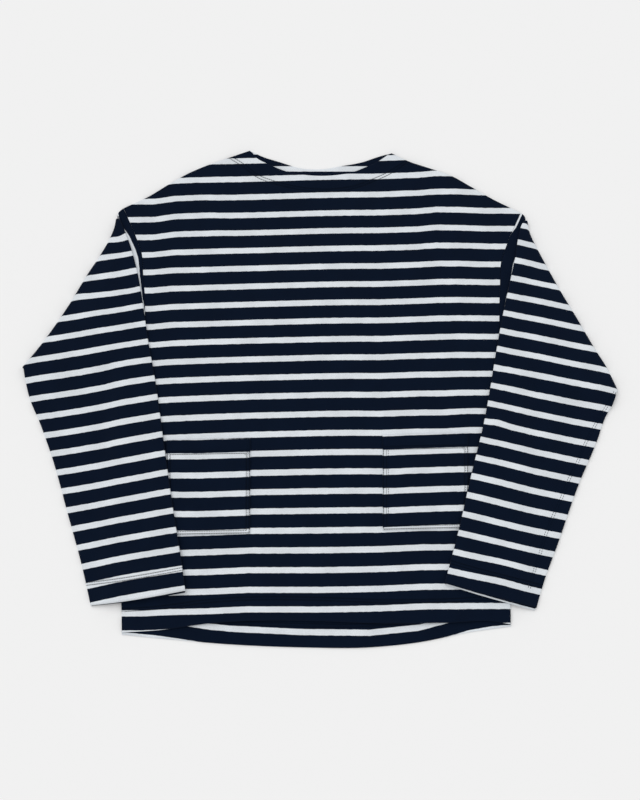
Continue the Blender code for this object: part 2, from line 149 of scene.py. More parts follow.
LEFT_HALF = {
    "sign": 1,
    "shoulder": [(107, 356), (135, 342), (164, 332), (194, 321), (223, 304), (252, 286), (296, 263)],
    "armhole": [(296, 263), (274, 214), (265, 188), (262, 150), (260, 110), (260, 80), (270, 44)],
    "side": [(270, 44), (268, -80), (266, -200), (264, -290), (263, -328)],
    "fold": [(304, 257), (308, 232), (320, 203), (332, 178), (348, 146), (373, 100), (395, 58), (410, 32),
             (424.3, -1)],
    "underarm": [(270, 44), (424.3, -1)],
    "inner_edge": [(304, 257), (296, 243), (291, 226), (285, 194), (277, 160), (265, 110), (254, 57),
                   (244, 4), (236, -36), (213, -124), (192, -207), (173, -273)],
    "outer_edge": [(424.3, -1), (417, -22), (406, -41), (393, -74), (364, -137), (331, -221), (311, -270),
                   (299, -306)],
    "cuff": [(173, -273), (208, -283), (262, -297), (299, -306)],
    "tab": (300.2, 256.5),
    "corner_lift": 2.0,
    "peek": (1.2, 4.2, 2.0),
    "stripe_angle": 76.92,
    "stripe_pitch": 26.85,
    "stripe_start": 167.3,
    "upper_arm_shift": -5.4,
    "armhole_stripe": [(46, 77), (75, 138), (88, 142.1), (131, 148.5), (173, 157), (216, 158),
                       (232, 158.8), (240, 161), (262, 161.5)],
    "stripe_bow": [(280, 0.0), (320, 1.2), (360, 2.2), (400, 4.2)],
    "stripe_pulls": [(284, 215, 22, 1.2), (322, 168, 20, -1.6), (250, 20, 16, -1.6), (253, -47, 13, 2.2),
                     (250, -115, 50, 1.3), (285, -180, 50, -1.0), (250, -260, 30, 1.6)],
    "underarm_stitches": [(420, -5), (405, -30), (389, -55), (375, -80), (363, -106), (350, -130),
                          (339, -155), (327, -179), (316, -204), (307, -230), (298, -254), (289, -280)],
}

POCKETS = {
    "right_pocket": [(-214, -74), (-96, -72), (-95, -205), (-211, -207)],
    "left_pocket": [(90, -67), (211, -64), (208, -197), (89, -200)],
}

# Soft swells, as in the solids: centre x and y, half length, half width, turn, height
SWELLS = [
    (5, 170, 190, 120, 4, 2.4),
    (-20, -60, 200, 140, -6, 2.2),
    (0, 300, 90, 60, 0, 1.2),
    (-120, -330, 110, 80, 4, 1.5),
    (135, -320, 110, 80, -3, 1.4),
]
SLEEVE_SWELLS = {
    "right_sleeve": [(300, 60, 90, 34, 60, 1.6), (262, -60, 110, 30, 78, 1.2),
                     (330, -90, 90, 26, 72, 1.2)],
    "left_sleeve": [(310, 50, 95, 34, 118, 1.6), (250, -90, 110, 30, 103, 1.2),
                    (335, -110, 90, 26, 112, 1.2)],
}

# Creases: points that each one runs through, half width, rise; a negative rise is a trough
FRONT_CREASES = [
    ([(-190, 318), (-176, 296), (-160, 262)], 9, 1.1),
    ([(-120, 322), (-128, 290), (-142, 262)], 8, -0.7),
    ([(112, 318), (128, 290), (150, 268)], 9, 0.9),
    ([(150, 322), (176, 290), (196, 240)], 11, -0.7),
    ([(262, 232), (236, 216), (205, 206)], 8, 1.0),
    ([(258, 196), (236, 186), (212, 184)], 7, -0.7),
    ([(-250, 205), (-222, 190), (-190, 184)], 8, 0.9),
    ([(-246, 120), (-214, 96), (-180, 84)], 12, 0.9),
    ([(252, 110), (216, 92), (176, 84)], 12, 0.8),
    ([(-96, -180), (-84, -236), (-72, -318)], 10, 1.1),
    ([(-160, -226), (-152, -270), (-158, -322)], 11, 0.9),
    ([(8, -170), (16, -240), (10, -316)], 12, 0.9),
    ([(84, -216), (90, -262), (104, -320)], 9, 1.0),
    ([(190, -214), (186, -262), (194, -318)], 10, 0.9),
    ([(254, -236), (250, -280), (252, -320)], 8, 0.7),
    ([(-40, 60), (10, 40), (66, 44)], 20, 0.8),
    ([(-60, -20), (0, 6), (40, 4)], 16, -0.7),
]
BACK_CREASES = [
    ([(-200, 300), (-150, 240), (-120, 170)], 14, 1.3),
    ([(200, 300), (160, 230), (130, 150)], 14, 1.2),
    ([(-236, 90), (-150, 60), (-60, 66)], 15, 1.2),
    ([(240, 70), (160, 40), (70, 52)], 13, 1.2),
    ([(-80, 260), (0, 244), (90, 262)], 16, 1.0),
    ([(-60, -60), (-20, -150), (-30, -240)], 14, 1.3),
    ([(120, -40), (130, -130), (110, -230)], 12, 1.2),
    ([(-190, -80), (-170, -180), (-180, -260)], 12, 1.2),
    ([(-110, -280), (-104, -320), (-112, -350)], 10, 1.2),
    ([(60, -290), (66, -330), (60, -356)], 9, 1.2),
    ([(180, -260), (186, -300), (180, -340)], 11, 1.1),
]
SLEEVE_CREASES = {
    "right_sleeve": [
        ([(292, -40), (298, -78), (288, -110), (286, -190), (284, -226)], 9, -1.1),
        ([(262, 30), (270, -20), (262, -80)], 11, 0.9),
        ([(395, 20), (376, 2), (350, -12)], 9, 1.1),
        ([(404, -20), (380, -34), (348, -38)], 8, -0.9),
        ([(290, 205), (300, 170), (322, 130)], 9, 1.0),
        ([(262, 170), (272, 140), (290, 110)], 8, -0.7),
        ([(244, 70), (262, 50), (284, 44)], 8, 0.8),
        ([(330, -150), (318, -190), (312, -232)], 8, 0.8),
        ([(216, -120), (226, -160), (224, -210)], 8, 0.7),
    ],
    "left_sleeve": [
        ([(302, 0), (270, -10), (246, -6)], 9, -0.9),
        ([(388, 22), (356, 6), (322, -4)], 10, 1.1),
        ([(380, -20), (352, -24), (322, -22)], 8, -0.9),
        ([(300, 200), (316, 160), (340, 120)], 10, 1.0),
        ([(282, 150), (296, 112), (320, 84)], 8, -0.7),
        ([(268, 60), (284, 40), (306, 32)], 9, 0.8),
        ([(280, -60), (268, -120), (250, -180)], 9, -0.9),
        ([(322, -110), (304, -170), (290, -226)], 9, 0.9),
        ([(226, -110), (222, -160), (208, -220)], 8, 0.7),
    ],
}

# Stripes of the jersey: a white one every pitch on navy
STRIPE_PITCH = 27.156
WHITE_WIDTH = 8.3
FRONT_STRIPE = 290.0  # middle of a white stripe of the front, at x = 0
# How far the front's stripes stand off level: x, then the drift at the chest, the middle and the hem
STRIPE_DRIFT = [
    (-240, -9.4, -8.5, -5.0),
    (-211, -5.4, -6.5, -3.5),
    (-154, -3.6, -4.2, -2.1),
    (-97, -2.4, -2.4, 0.5),
    (-41, -1.1, -1.1, 0.4),
    (2, 0.0, 0.0, 0.3),
    (45, 0.9, 0.6, 1.0),
    (87, 1.4, 0.4, 2.0),
    (144, 3.4, 2.4, 4.7),
    (172, 6.0, 2.4, 4.9),
    (201, 5.9, 3.4, 5.1),
    (243, 4.2, 3.8, 5.2),
]
DRIFT_ROWS = (290, -50, -307)
# And how far they have sagged all across: y, then the sag
STRIPE_SAG = [(-316, -0.9), (-290, -1.7), (-250, -2.1), (-175, -1.6), (-60, -1.0), (0, -0.6),
              (60, -0.5), (150, -1.4), (200, -1.7), (255, -1.9), (310, -0.3), (345, 1.2)]
# Places of the front where its stripes are pulled up, or down where negative: x, y, reach, how far
FRONT_PULLS = [(-238, 168, 30, 1.2), (-190, 250, 45, 1.1), (218, -45, 25, 1.2)]
# The back's stripes run level at the neck and along its hem: the middle of a white one at the neck, x
# and height over the hem of one there, and the number of pitches between them
BACK_NECK_STRIPE = 331.5
BACK_HEM_STRIPE = [(-217, 25.5), (-150, 21.5), (-121, 21.0), (-25, 20.5), (70, 19.5), (139, 19.5),
                   (180, 22.5), (205, 24.5), (235, 25.5), (263, 24.0)]
BACK_STRIPES = 25
# How far the pockets' stripes hang below the front's: x, then how far
POCKET_SLIP = [(-206, -0.4), (-197, 0.0), (-170, 1.2), (-96, 1.4), (90, 1.4), (150, 1.1), (172, 0.2)]

NECK_BAND = 23.5
HEM_BAND = 30.0
CUFF_BAND = 30.0
MOUTH_BAND = 18.8
POCKET_EDGE = 3.4
NEEDLE_GAP = 4.0
CUFF_NEEDLE_GAP = 3.2
# Rows of stitches along a pocket's left side, foot and right side, from its edge
POCKET_ROWS = {
    "right_pocket": [(1.2, 4.7), (0.9, 4.3), (0.8, 4.2)],
    "left_pocket": [(1.0, 8.0), (0.9, 4.3), (1.4, 4.2)],
}
# Middle between the twin rows round the front's neck
NECK_STITCHES = [(-130, 348), (-114, 338), (-89, 318.5), (-66, 309.5), (-30, 300), (20, 296.5), (55, 302.5),
                 (81, 313), (104, 324), (125, 338)]
STITCH_PITCH = 3.3
STITCH_FILL = 0.78        # share of the pitch that a stitch shows
THREAD_RADIUS = 0.34
THREAD_SIDES = 5
# Rings of one stitch: share of its length, share of its radius, depth under its middle
STITCH_RINGS = [(0.0, 0.4, 0.35), (0.25, 1.0, 0.06), (0.75, 1.0, 0.06), (1.0, 0.4, 0.35)]
FAR = 1000.0              # a distance beyond any hem

# Camera and light
CAMERA_DISTANCE = 1580.0
CAMERA_ELEVATION = 79.5
CAMERA_TARGET = (2.0, -15.5, 0.0)
CAMERA_LENS = 50.0
SENSOR_WIDTH = 36.0
FLOOR_SIZE = 12000.0
FLOOR_Z = -0.3
NAVY = (0.0015, 0.0055, 0.0165, 1.0)
WHITE = (0.72, 0.76, 0.80, 1.0)
FLOOR_COLOUR = (0.905, 0.905, 0.905, 1.0)
WORLD_STRENGTH = 0.77
KEY_STRENGTH = 0.8
KEY_ANGLE = 50.0
KEY_DIRECTION = (-0.45, 0.6, 1.0)
JERSEY_FINISH = {"Roughness": 0.92, "Specular IOR Level": 0.06, "Sheen Weight": 0.04,
                 "Sheen Roughness": 0.5}
THREAD_FINISH = {"Roughness": 0.9, "Specular IOR Level": 0.06}
FLOOR_FINISH = {"Roughness": 1.0, "Specular IOR Level": 0.0}
THREAD_COLOURS = [(0.0015, 0.005, 0.013, 1), (0.003, 0.008, 0.02, 1)]

# Grain of the materials: ribs and loops of the knit in millimetres, and the scales of their noises
RIB_PITCH = 1.3
LOOP_PITCH = 1.0
YARN_SCALE = 0.9
WANDER_SCALE = 0.12
SHADE_SCALE = 0.03
THREAD_SCALE = 2500.0
FLOOR_SCALE = 3.0


def smoothstep(low, high, value):
    """Nothing below low, one above high, and an even rise between them."""
    share = np.clip((value - low) / (high - low), 0, 1)
    return share * share * (3 - 2 * share)


def curve(points):
    """A smooth curve through points, as a function of the share of its length, 0 to 1."""
    points = np.array(points, float)
    steps = np.linalg.norm(np.diff(points, axis=0), axis=1)
    knots = np.concatenate([[0], np.cumsum(steps)]) / steps.sum()
    slopes = np.gradient(points, knots, axis=0)

    def at(share):
        share = np.asarray(share, float)
        i = np.clip(np.searchsorted(knots, share, side="right") - 1, 0, len(steps) - 1)
        span = (knots[i + 1] - knots[i])[..., None]
        t = (share[..., None] - knots[i][..., None]) / span
        return ((1 + 2 * t) * (1 - t) ** 2 * points[i] + t * (1 - t) ** 2 * span * slopes[i]
                + t * t * (3 - 2 * t) * points[i + 1] - t * t * (1 - t) * span * slopes[i + 1])
    return at


def directions(points):
    """Unit directions along a row of points."""
    steps = np.gradient(points, axis=0)
    return steps / np.linalg.norm(steps, axis=1, keepdims=True)


def turned(vectors, sign):
    """Vectors turned a quarter turn, anticlockwise for sign 1 and clockwise for -1."""
    return np.stack([-vectors[:, 1], vectors[:, 0]], axis=1) * sign


def inset(points, way_out, reach):
    """A row of points moved in by reach; way_out is 1 or -1, as for turned."""
    points = np.array(points, float)
    return points - turned(directions(points), way_out) * reach


def crossing(row_a, row_b):
    """Where the last step of one row and the first step of another meet, both prolonged."""
    start, along = row_a[-1], row_a[-1] - row_a[-2]
    other, across = row_b[0], row_b[1] - row_b[0]
    share = np.linalg.solve(np.stack([along, -across], axis=1), other - start)[0]
    return start + along * share


def meet(row_a, end_a, row_b, end_b):
    """Move one end of each of two rows, 0 or -1, to where the rows meet when prolonged."""
    meeting = crossing(row_a[::-1] if end_a == 0 else row_a, row_b if end_b == 0 else row_b[::-1])
    row_a[end_a] = meeting
    row_b[end_b] = meeting


def joined(rows):
    """Rows of points that run on from each other, each pair meeting at its crossing."""
    for first, second in zip(rows, rows[1:]):
        meet(first, -1, second, 0)
    return rows


def straight(points):
    """Where a row of points starts, and the unit direction from there to its end."""
    start, end = np.array([points[0], points[-1]], float)
    return start, (end - start) / np.linalg.norm(end - start)


def from_table(value, table):
    """What a table of pairs gives for a value, between its rows."""
    places, results = np.array(table, float).T
    return np.interp(value, places, results)


def pulled(pulls, x, y):
    """How far stripes are pulled up at a place."""
    shifts = np.zeros(np.shape(x))
    for pull_x, pull_y, reach, shift in pulls:
        shifts += shift * np.exp(-((x - pull_x) ** 2 + (y - pull_y) ** 2) / reach ** 2)
    return shifts


def border(sections, way_out):
    """Nodes along one border: sections are (row, cells, bent). Returns points, ways out and bent."""
    points, ways, bent = [], [], []
    for row, cells, is_bent in sections:
        nodes = curve(row)(np.linspace(0, 1, cells + 1))
        out = turned(directions(nodes), way_out)
        skip = 0
        if points:
            skip = 1
            if is_bent:
                ways[-1] = out[0]
                bent[-1] = True
        points.extend(nodes[skip:])
        ways.extend(out[skip:])
        bent.extend([is_bent] * (len(nodes) - skip))
    return np.array(points), np.array(ways), np.array(bent)


def patch(bottom, top, left, right, across, up):
    """Nodes that fill four borders smoothly; across and up are the shares of the nodes."""
    u = across[:, None, None]
    v = up[None, :, None]
    return ((1 - v) * bottom[:, None] + v * top[:, None] + (1 - u) * left[None] + u * right[None]
            - (1 - u) * (1 - v) * bottom[0] - u * (1 - v) * bottom[-1]
            - (1 - u) * v * top[0] - u * v * top[-1])


def line_distance(points, x, y):
    """Distance of places from a line through points, its side, and the share of the nearest place."""
    line = curve(points)(np.linspace(0, 1, 8 * len(points) + 1))
    best = np.full(np.shape(x), np.inf)
    side = np.zeros(np.shape(x))
    share = np.zeros(np.shape(x))
    last = len(line) - 1
    for i in range(last):
        step = line[i + 1] - line[i]
        off_x, off_y = x - line[i, 0], y - line[i, 1]
        t = np.clip((off_x * step[0] + off_y * step[1]) / (step @ step), 0, 1)
        distance = np.hypot(off_x - t * step[0], off_y - t * step[1])
        nearer = distance < best
        best = np.where(nearer, distance, best)
        side = np.where(nearer, np.sign(step[0] * off_y - step[1] * off_x), side)
        share = np.where(nearer, (i + t) / last, share)
    return best, side, share


def swell_height(swells, x, y):
    """Height of the given soft swells over the flat cloth."""
    height = np.zeros(np.shape(x))
    for centre_x, centre_y, half_length, half_width, turn, rise in swells:
        angle = np.radians(turn)
        along = ((x - centre_x) * np.cos(angle) + (y - centre_y) * np.sin(angle)) / half_length
        across = ((y - centre_y) * np.cos(angle) - (x - centre_x) * np.sin(angle)) / half_width
        height += rise * np.clip(1 - along ** 2 - across ** 2, 0, None) ** 2
    return height


def crease_height(creases, x, y):
    """Height of the given creases: steeper on one side, and thinning out towards their ends."""
    height = np.zeros(np.shape(x))
    for points, half_width, rise in creases:
        distance, side, share = line_distance(points, x, y)
        width = half_width * np.where(side > 0, *CREASE_SIDES) * (CREASE_SPREAD[0] + CREASE_SPREAD[1] * share)
        fade = np.sin(np.pi * (CREASE_ENDS[0] + CREASE_ENDS[1] * share))
        height += rise * fade * np.exp(-(distance / width) ** 2)
    return height


def fold_fade(x, y):
    """One inside the garment, falling to nothing at the fold lines of the sleeves."""
    fade = np.ones(np.shape(x))
    for half in (RIGHT_HALF, LEFT_HALF):
        distance, _, _ = line_distance(half_rows(half, "fold"), x, y)
        fade = fade * smoothstep(*FOLD_FADE, distance)
    return fade


def back_lift(x, y):
    """How far the creases lift the back off the surface."""
    return np.clip(crease_height(BACK_CREASES, x, y), 0, None) * fold_fade(x, y)


def front_lift(x, y):
    """How far the front's upper side stands over its flat height."""
    folds = BODY_PUFF + swell_height(SWELLS, x, y) + crease_height(FRONT_CREASES, x, y)
    return back_lift(x, y) + np.clip(folds, DEEPEST_TROUGH, None) * fold_fade(x, y)


def front_top(x, y):
    """Height of the front's upper side away from its bent edges."""
    return LAYERS_TOP + front_lift(x, y)


def split_shares(cells, breaks):
    """Shares of a border's nodes, whose sections have these cells and meet at these shares."""
    ends = [0, *breaks, 1]
    shares = [np.linspace(a, b, n + 1)[:-1] for a, b, n in zip(ends, ends[1:], cells)]
    return np.concatenate([*shares, [1]])


def half_rows(half, name):
    """One named outline of a half, in the garment's x and y."""
    return [(half["sign"] * out, y) for out, y in half[name]]


def panel_borders(neck, hem):
    """The borders of the front or back, moved in by the reach of its edges."""
    low_shoulder = inset(half_rows(RIGHT_HALF, "shoulder")[::-1], 1, EDGE_REACH)
    high_shoulder = inset(half_rows(LEFT_HALF, "shoulder"), 1, EDGE_REACH)
    top = joined([low_shoulder, inset(neck, 1, EDGE_REACH), high_shoulder])
    sides = {}
    for half, way_out in ((RIGHT_HALF, 1), (LEFT_HALF, -1)):
        side_row = half_rows(half, "side")[::-1]
        side_row[0] = hem[0] if half is RIGHT_HALF else hem[-1]
        sides[half["sign"]] = joined([inset(side_row, way_out, EDGE_REACH),
                                      inset(half_rows(half, "armhole")[::-1], way_out, EDGE_REACH)])
    bottom = inset(hem, -1, EDGE_REACH)
    low, high = sides[-1], sides[1]
    for end, side in ((0, low), (-1, high)):
        meet(top[end], end, side[1], -1)
        meet(bottom, end, side[0], 0)
    return {
        "bottom": border([(bottom, SHOULDER_CELLS + NECK_CELLS + SHOULDER_CELLS, False)], -1),
        "top": border([(top[0], SHOULDER_CELLS, True), (top[1], NECK_CELLS, False),
                       (top[2], SHOULDER_CELLS, True)], 1),
        "low_x": border([(low[0], SIDE_CELLS, True), (low[1], ARMHOLE_CELLS, False)], 1),
        "high_x": border([(high[0], SIDE_CELLS, True), (high[1], ARMHOLE_CELLS, False)], -1),
    }


def rounded_rim(share):
    """Share of the wall's thickness that is left, towards a free edge at share 1."""
    into = np.clip((share - EDGE_ROUNDING) / (1 - EDGE_ROUNDING), 0, RIM_LIMIT)
    return np.sqrt(1 - into ** 2)


def panel_nodes(borders):
    """Middle of a panel's wall from above, with each node's bend angle, its way out and thinning."""
    across = split_shares((SHOULDER_CELLS, NECK_CELLS, SHOULDER_CELLS), NECK_SHARES)
    up = split_shares((SIDE_CELLS, ARMHOLE_CELLS), (UNDERARM_SHARE,))
    hem_points = borders["bottom"][0]
    even = np.linspace(0, 1, len(hem_points))
    hem_points = np.stack([np.interp(across, even, hem_points[:, k]) for k in (0, 1)], axis=1)
    flat = patch(hem_points, borders["top"][0], borders["low_x"][0], borders["high_x"][0], across, up)
    columns = np.arange(-BEND_CELLS, len(across) + BEND_CELLS)
    rows = np.arange(-BEND_CELLS, len(up) + BEND_CELLS)
    column = np.clip(columns, 0, len(across) - 1)
    row = np.clip(rows, 0, len(up) - 1)
    nodes = flat[column][:, row]
    angle = np.zeros(nodes.shape[:2])
    way = np.zeros(nodes.shape)
    thickness = np.full(nodes.shape[:2], WALL)
    past = {
        "low_x": (np.clip(-columns, 0, None), 0),
        "high_x": (np.clip(columns - len(across) + 1, 0, None), 0),
        "bottom": (np.clip(-rows, 0, None), 1),
        "top": (np.clip(rows - len(up) + 1, 0, None), 1),
    }
    for name, (steps, axis) in past.items():
        _, ways, bent = borders[name]
        index = row if axis == 0 else column
        share = np.expand_dims(steps / BEND_CELLS, 1 - axis)
        out = np.expand_dims(ways[index], axis)
        is_bent = np.expand_dims(bent[index], axis)
        turn = np.where(is_bent, share * np.pi / 2, 0)
        reach = np.where(is_bent, BEND_MID * np.sin(turn), EDGE_REACH * share)
        nodes = nodes + out * reach[..., None]
        way = way + np.where((turn > 0)[..., None], out, 0)
        angle = angle + turn
        if axis == 1:
            thickness = np.where(is_bent, thickness, thickness * rounded_rim(share))
    return nodes, angle, way, thickness


def panel_walls(borders, is_front):
    """Upper and lower side of a panel's wall, as two grids of points."""
    nodes, angle, way, thickness = panel_nodes(borders)
    x, y = nodes[..., 0], nodes[..., 1]
    upright = np.clip(np.cos(angle), 0, None)
    if is_front:
        height = FRONT_BEND_Z + (BEND_MID + front_lift(x, y)) * upright
        lean = 1
    else:
        height = BACK_BEND_Z + (back_lift(x, y) - BEND_MID) * upright
        lean = -1
    middle = np.concatenate([nodes, height[..., None]], axis=2)
    normal = np.concatenate([way * np.sin(angle)[..., None], lean * np.cos(angle)[..., None]], axis=2)
    half = normal * thickness[..., None] / 2
    return middle + half, middle - half


def pocket_share(x, y):
    """One over a pocket, nothing away from it, with a soft ramp round it."""
    share = np.zeros(np.shape(x))
    for corners in POCKETS.values():
        xs, ys = np.array(corners).T
        off_x = np.maximum(xs.min() - x, x - xs.max())
        off_y = np.maximum(ys.min() - y, y - ys.max())
        away = np.maximum(off_x, off_y)
        share = np.maximum(share, 1 - smoothstep(POCKET_MARGIN, POCKET_MARGIN + POCKET_RAMP, away))
    return share


def sleeve_base(half, out, y):
    """Height of the underside of a folded sleeve, over the body, the upper arm and the surface."""
    past_side = out - from_table(y, [(side_y, side_out) for side_out, side_y in half["side"][::-1]])
    (start_out, start_y), along = straight(half["underarm"])
    below_arm = -((y - start_y) * along[0] - (out - start_out) * along[1])
    sunk = (smoothstep(SINK_START, SINK_START + SINK_WIDTH, past_side)
            * smoothstep(SINK_START, SINK_START + SINK_WIDTH, below_arm))
    x = half["sign"] * out
    held_up = front_top(x, y) + POCKET_RISE * pocket_share(x, y) + FOLD_GAP
    return held_up * (1 - sunk)


def tube_profile(across):
    """Once round a flat tube: share across, edge side (-1, 0 or 1) and angle, for each node."""
    nodes = [(share, 0, 90) for share in across]
    nodes += [(1, 1, angle) for angle in TUBE_EDGE_ANGLES]
    nodes += [(share, 0, -90) for share in across[::-1]]
    nodes += [(0, -1, angle) for angle in TUBE_EDGE_ANGLES[::-1]]
    share, edge, angle = np.array(nodes, float).T
    return share, edge, np.radians(angle)


def sleeve_rows(half, body_border):
    """The lines that a sleeve is built on, as distance out and y: nodes across or along it."""
    mirror = np.array([half["sign"], 1.0])
    points, ways, _ = body_border
    clear = EDGE_REACH + SEAM_GAP
    seam = (points + ways * clear)[SIDE_CELLS:] * mirror
    seam[0] = points[SIDE_CELLS] * mirror + np.array([clear + UNDERARM_SLACK, clear + UNDERARM_SLACK / 2])
    armhole = seam[::-1]
    across = np.linspace(0, 1, ARMHOLE_CELLS + 1)
    inner = inset(half["inner_edge"], -1, TUBE_OUTER)
    outer = inset(half["outer_edge"], 1, TUBE_OUTER)
    fold = inset(half["fold"], 1, FOLD_Z)
    joined([inner[::-1], fold, outer])
    cuff = np.array(half["cuff"], float)
    for end, edge in ((0, inner), (-1, outer)):
        meet(edge, -1, cuff, end)
    stub = np.array([armhole[0], half["tab"], fold[0]])
    underarm = np.array([armhole[-1], fold[-1]])
    return across, armhole, stub, underarm, curve(fold)(across), inner, outer, curve(cuff)(across)


def edge_offset(edge, reach, low, high):
    """How far the nodes of a tube's two edges stand out past them."""
    way = np.where((edge < 0)[:, None], low, high)
    return way * (np.abs(edge) * reach)[:, None]


def blended(way_a, way_b, share):
    """A unit direction between two others."""
    way = way_a * (1 - share) + way_b * share
    return way / np.linalg.norm(way)


def sleeve_cloth(half, place, beyond_fold):
    """Place in the cloth of a sleeve's lower part; beyond_fold moves it on across the fold line."""
    _, along = straight(half["fold"])
    outward = np.array([-along[1], along[0]])
    flat = place + outward * np.reshape(beyond_fold, (-1, 1))
    angle = np.radians(half["stripe_angle"])
    x = half["sign"] * flat[:, 0]
    y = flat[:, 1]
    up = x * np.cos(angle) + y * np.sin(angle) - half["stripe_start"]
    over = x * np.sin(angle) - y * np.cos(angle)
    up = up - from_table(flat[:, 0], half["stripe_bow"]) - pulled(half["stripe_pulls"], *flat.T)
    return np.stack([over, up * STRIPE_PITCH / half["stripe_pitch"]], axis=1)


def mirrored(half, place):
    """Places of the upper arm reflected in the fold line, where their cloth lies when unfolded."""
    start, along = straight(half["fold"])
    off = place - start
    return start + 2 * np.outer(off @ along, along) - off


def upper_arm_cloth(half, place, seam, rise, height, upper):
    """Place in the cloth of the upper arm; its upper layer's stripes run along the armhole's seam."""
    cloth = sleeve_cloth(half, mirrored(half, place), np.pi * (FOLD_Z - height))
    below = cloth[:, 1] + half["upper_arm_shift"] * (1 - rise ** 3)
    from_seam = np.hypot(*(place - seam).T)
    beside = from_table(seam[:, 1], half["armhole_stripe"]) - from_seam
    share = np.maximum(smoothstep(*ARMHOLE_FADE, from_seam), smoothstep(0.4, 1, rise))
    above = beside + (below - beside) * share
    return np.column_stack([cloth[:, 0], below + (above - below) * upper])


def tube_places(nodes, ways, index, edge, reach):
    """Places of a tube's nodes at each station, with its two edges standing out."""
    return np.array([nodes[index, k] + edge_offset(edge, reach, *ends) for k, ends in enumerate(zip(*ways))])


def sleeve_walls(half, body_border, name):
    """Outer and inner side of a sleeve's wall, a row for each station, and each node's cloth."""
    across, armhole, stub, underarm, fold, inner, outer, cuff = sleeve_rows(half, body_border)
    share, edge, angle = tube_profile(across)
    index = np.rint(share * (len(across) - 1)).astype(int)
    rise = np.linspace(0, 1, UPPER_ARM_CELLS + 1)
    drop = np.linspace(0, 1, LOWER_ARM_CELLS + 1)
    stub_row, underarm_row = curve(stub)(rise), curve(underarm)(rise)
    inner_row, outer_row = curve(inner)(drop), curve(outer)(drop)
    upper_arm = patch(armhole, fold, stub_row, underarm_row, across, rise)
    lower_arm = patch(fold, cuff, inner_row, outer_row, across, drop)
    ways = {
        "upper": (turned(directions(stub_row), 1), turned(directions(underarm_row), -1)),
        "lower": (turned(directions(inner_row), -1), turned(directions(outer_row), 1)),
    }
    fold_way = turned(directions(fold), 1)
    sign = half["sign"]
    up_share, down_share = np.clip(np.sin(angle), 0, None), np.clip(-np.sin(angle), 0, None)
    walls = []
    for radius in (TUBE_OUTER, TUBE_INNER):
        reach = radius * np.cos(angle)
        height = TUBE_MID_Z + radius * np.sin(angle)
        # The upper arm, flat on the surface beside the body
        place = tube_places(upper_arm, ways["upper"], index, edge, reach)
        x, y = sign * place[..., 0], place[..., 1]
        lift = front_lift(x, y) * up_share + back_lift(x, y) * down_share
        stations = [np.concatenate([place, (height + lift)[..., None]], axis=2)]
        cloth = [[upper_arm_cloth(half, row, armhole[index], step, height, up_share)
                  for row, step in zip(place, rise)]]
        # Round the fold line
        for k in range(1, FOLD_CELLS):
            turn = np.pi * k / FOLD_CELLS
            low = blended(ways["upper"][0][-1], ways["lower"][0][0], k / FOLD_CELLS)
            high = blended(ways["upper"][1][-1], ways["lower"][1][0], k / FOLD_CELLS)
            on_line = fold[index] + edge_offset(edge, reach, low, high)
            out = fold_way[index] * ((FOLD_Z - height) * np.sin(turn))[:, None]
            up = FOLD_Z - (FOLD_Z - height) * np.cos(turn)
            stations.append(np.column_stack([on_line + out, up])[None])
            cloth.append([sleeve_cloth(half, on_line, (np.pi - turn) * (FOLD_Z - height))])
        # The lower arm, upside down on what lies under it
        place = tube_places(lower_arm, ways["lower"], index, edge, reach)
        out, y = place[..., 0], place[..., 1]
        down = drop[:, None]
        hollow = 4 * share * (1 - share)
        puff = SLEEVE_PUFF * smoothstep(0, PUFF_START, down) + (CUFF_PUFF - SLEEVE_PUFF) * down ** 6
        puff = puff + swell_height(SLEEVE_SWELLS[name], out, y)
        puff = puff + crease_height(SLEEVE_CREASES[name], out, y) * smoothstep(0, CREASE_START, down)
        puff = np.clip(puff * hollow, DEEPEST_TROUGH, None) * down_share
        corner = half["corner_lift"] * (1 - share) ** 3 * down ** 10
        up = sleeve_base(half, out, y) + LAYERS_TOP - height + puff + corner
        flat = np.array([sleeve_cloth(half, row, np.zeros(len(row))) for row in place])
        near_end = smoothstep(*CUFF_PEEK, drop)[:, None] * up_share
        low_reach, high_reach, end_cloth = half["peek"]
        along = directions(place[-3:].reshape(3, -1))[-1].reshape(-1, 2)
        along /= np.linalg.norm(along, axis=1, keepdims=True)
        place = place + along * (near_end * (low_reach + (high_reach - low_reach) * share))[..., None]
        # Where end_cloth lies in the navy, as on the right cuff, the lower layer's end is a dark sheet
        # painted as the shadow under the cuff
        white = np.rint(flat[-1, :, 1] / STRIPE_PITCH) * STRIPE_PITCH + end_cloth
        flat[..., 1] += (white - flat[-1, :, 1]) * near_end
        stations.append(np.concatenate([place, up[..., None]], axis=2))
        cloth.append(flat)
        wall = np.concatenate(stations)
        wall[..., 0] *= sign
        walls.append((wall, np.concatenate(cloth)))
    return walls


def mouth_lift(across, up):
    """How far a pocket's mouth stands off the front, at shares across and up."""
    return MOUTH_LIFT * np.sin(np.pi * across) ** 2 * up ** 6


def pocket_walls(corners):
    """Upper and lower side of a patch pocket, on the front with its mouth a little open."""
    top_left, top_right, bottom_right, bottom_left = np.array(corners, float)
    u = np.linspace(0, 1, POCKET_ACROSS + 1)[:, None, None]
    v = np.linspace(0, 1, POCKET_UP + 1)[None, :, None]
    place = ((bottom_left * (1 - u) + bottom_right * u) * (1 - v)
             + (top_left * (1 - u) + top_right * u) * v)
    low = front_top(place[..., 0], place[..., 1]) + POCKET_GAP + mouth_lift(u, v)[..., 0]
    return (np.concatenate([place, (low + WALL)[..., None]], axis=2),
            np.concatenate([place, low[..., None]], axis=2))


